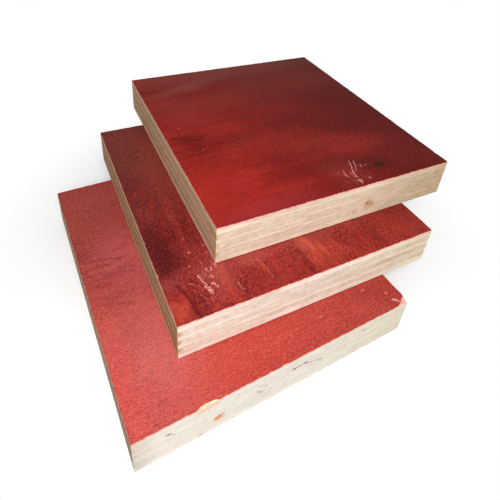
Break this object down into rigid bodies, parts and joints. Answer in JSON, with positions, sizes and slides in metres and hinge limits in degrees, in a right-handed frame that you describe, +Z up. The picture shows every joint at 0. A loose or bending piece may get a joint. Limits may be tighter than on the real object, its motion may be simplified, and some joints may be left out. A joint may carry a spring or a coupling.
{
  "type": "stack of plywood sheets",
  "caption": "Stack of square-cut plywood pieces with red resin-soaked faces and raw layered edges, each slid back from the one beneath.",
  "frame": {"origin": "centre of the bottom sheet's underside, on the floor", "axes": "+X along the bottom sheet's front edge, to the right; +Y along its left edge, to the back; +Z up through the stack"},
  "size_m": [0.1636, 0.1605, 0.054],
  "materials": {
    "bottom_red": "resin-soaked veneer, dull, pinkish red",
    "middle_red": "resin-soaked veneer, satin, burgundy with orange-red patches",
    "top_red": "resin-soaked veneer, satin, deep crimson",
    "long_grain_veneer": "sawn edge, raw, pale cream",
    "cross_grain_veneer": "sawn edge, raw, slightly darker end grain"
  },
  "bodies": {
    "root": {"bottom_sheet_red_back_veneer": "bottom_red", "bottom_sheet_core_veneer_1": "long_grain_veneer", "bottom_sheet_core_veneer_2": "cross_grain_veneer", "bottom_sheet_core_veneer_3": "long_grain_veneer", "bottom_sheet_core_veneer_4": "cross_grain_veneer", "bottom_sheet_core_veneer_5": "long_grain_veneer", "bottom_sheet_core_veneer_6": "cross_grain_veneer", "bottom_sheet_core_veneer_7": "long_grain_veneer", "bottom_sheet_red_face_veneer": "bottom_red", "middle_sheet_red_back_veneer": "middle_red", "middle_sheet_core_veneer_1": "long_grain_veneer", "middle_sheet_core_veneer_2": "cross_grain_veneer", "middle_sheet_core_veneer_3": "long_grain_veneer", "middle_sheet_core_veneer_4": "cross_grain_veneer", "middle_sheet_core_veneer_5": "long_grain_veneer", "middle_sheet_core_veneer_6": "cross_grain_veneer", "middle_sheet_core_veneer_7": "long_grain_veneer", "middle_sheet_red_face_veneer": "middle_red", "top_sheet_red_back_veneer": "top_red", "top_sheet_core_veneer_1": "long_grain_veneer", "top_sheet_core_veneer_2": "cross_grain_veneer", "top_sheet_core_veneer_3": "long_grain_veneer", "top_sheet_core_veneer_4": "cross_grain_veneer", "top_sheet_core_veneer_5": "long_grain_veneer", "top_sheet_core_veneer_6": "cross_grain_veneer", "top_sheet_core_veneer_7": "long_grain_veneer", "top_sheet_red_face_veneer": "top_red"}
  },
  "joints": []
}
